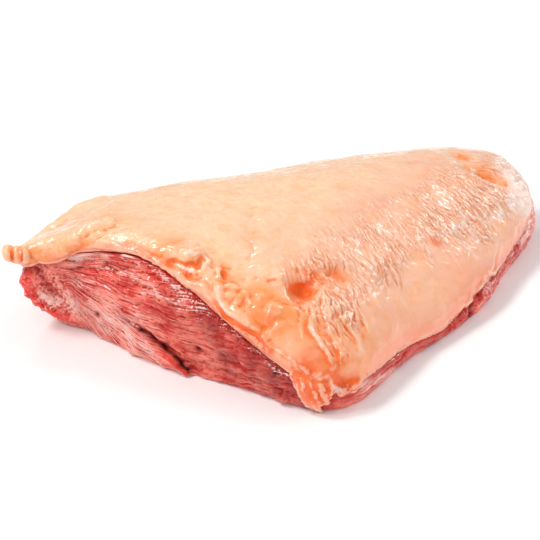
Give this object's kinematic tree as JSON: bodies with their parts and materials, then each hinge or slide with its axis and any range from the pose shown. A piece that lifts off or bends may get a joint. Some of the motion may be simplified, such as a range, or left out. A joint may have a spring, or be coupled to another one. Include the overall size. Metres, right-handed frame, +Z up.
{
  "type": "raw beef rump cap",
  "caption": "Raw beef joint: a flat triangular slab of lean muscle, cut straight across its thick end, under a soft cap of pale fat that rolls over its edges.",
  "frame": {"origin": "under the centre of the joint's box, on the surface it lies on", "axes": "+X along the long back side, from the thick left corner to the thin tip; +Y towards the back side; +Z up, fat side up"},
  "size_m": [0.3078, 0.185, 0.0629],
  "materials": {
    "lean": "moist, fibrous",
    "fat": "moist, waxy"
  },
  "bodies": {
    "root": {"lean": "lean", "fat_cap": "fat"}
  },
  "joints": []
}
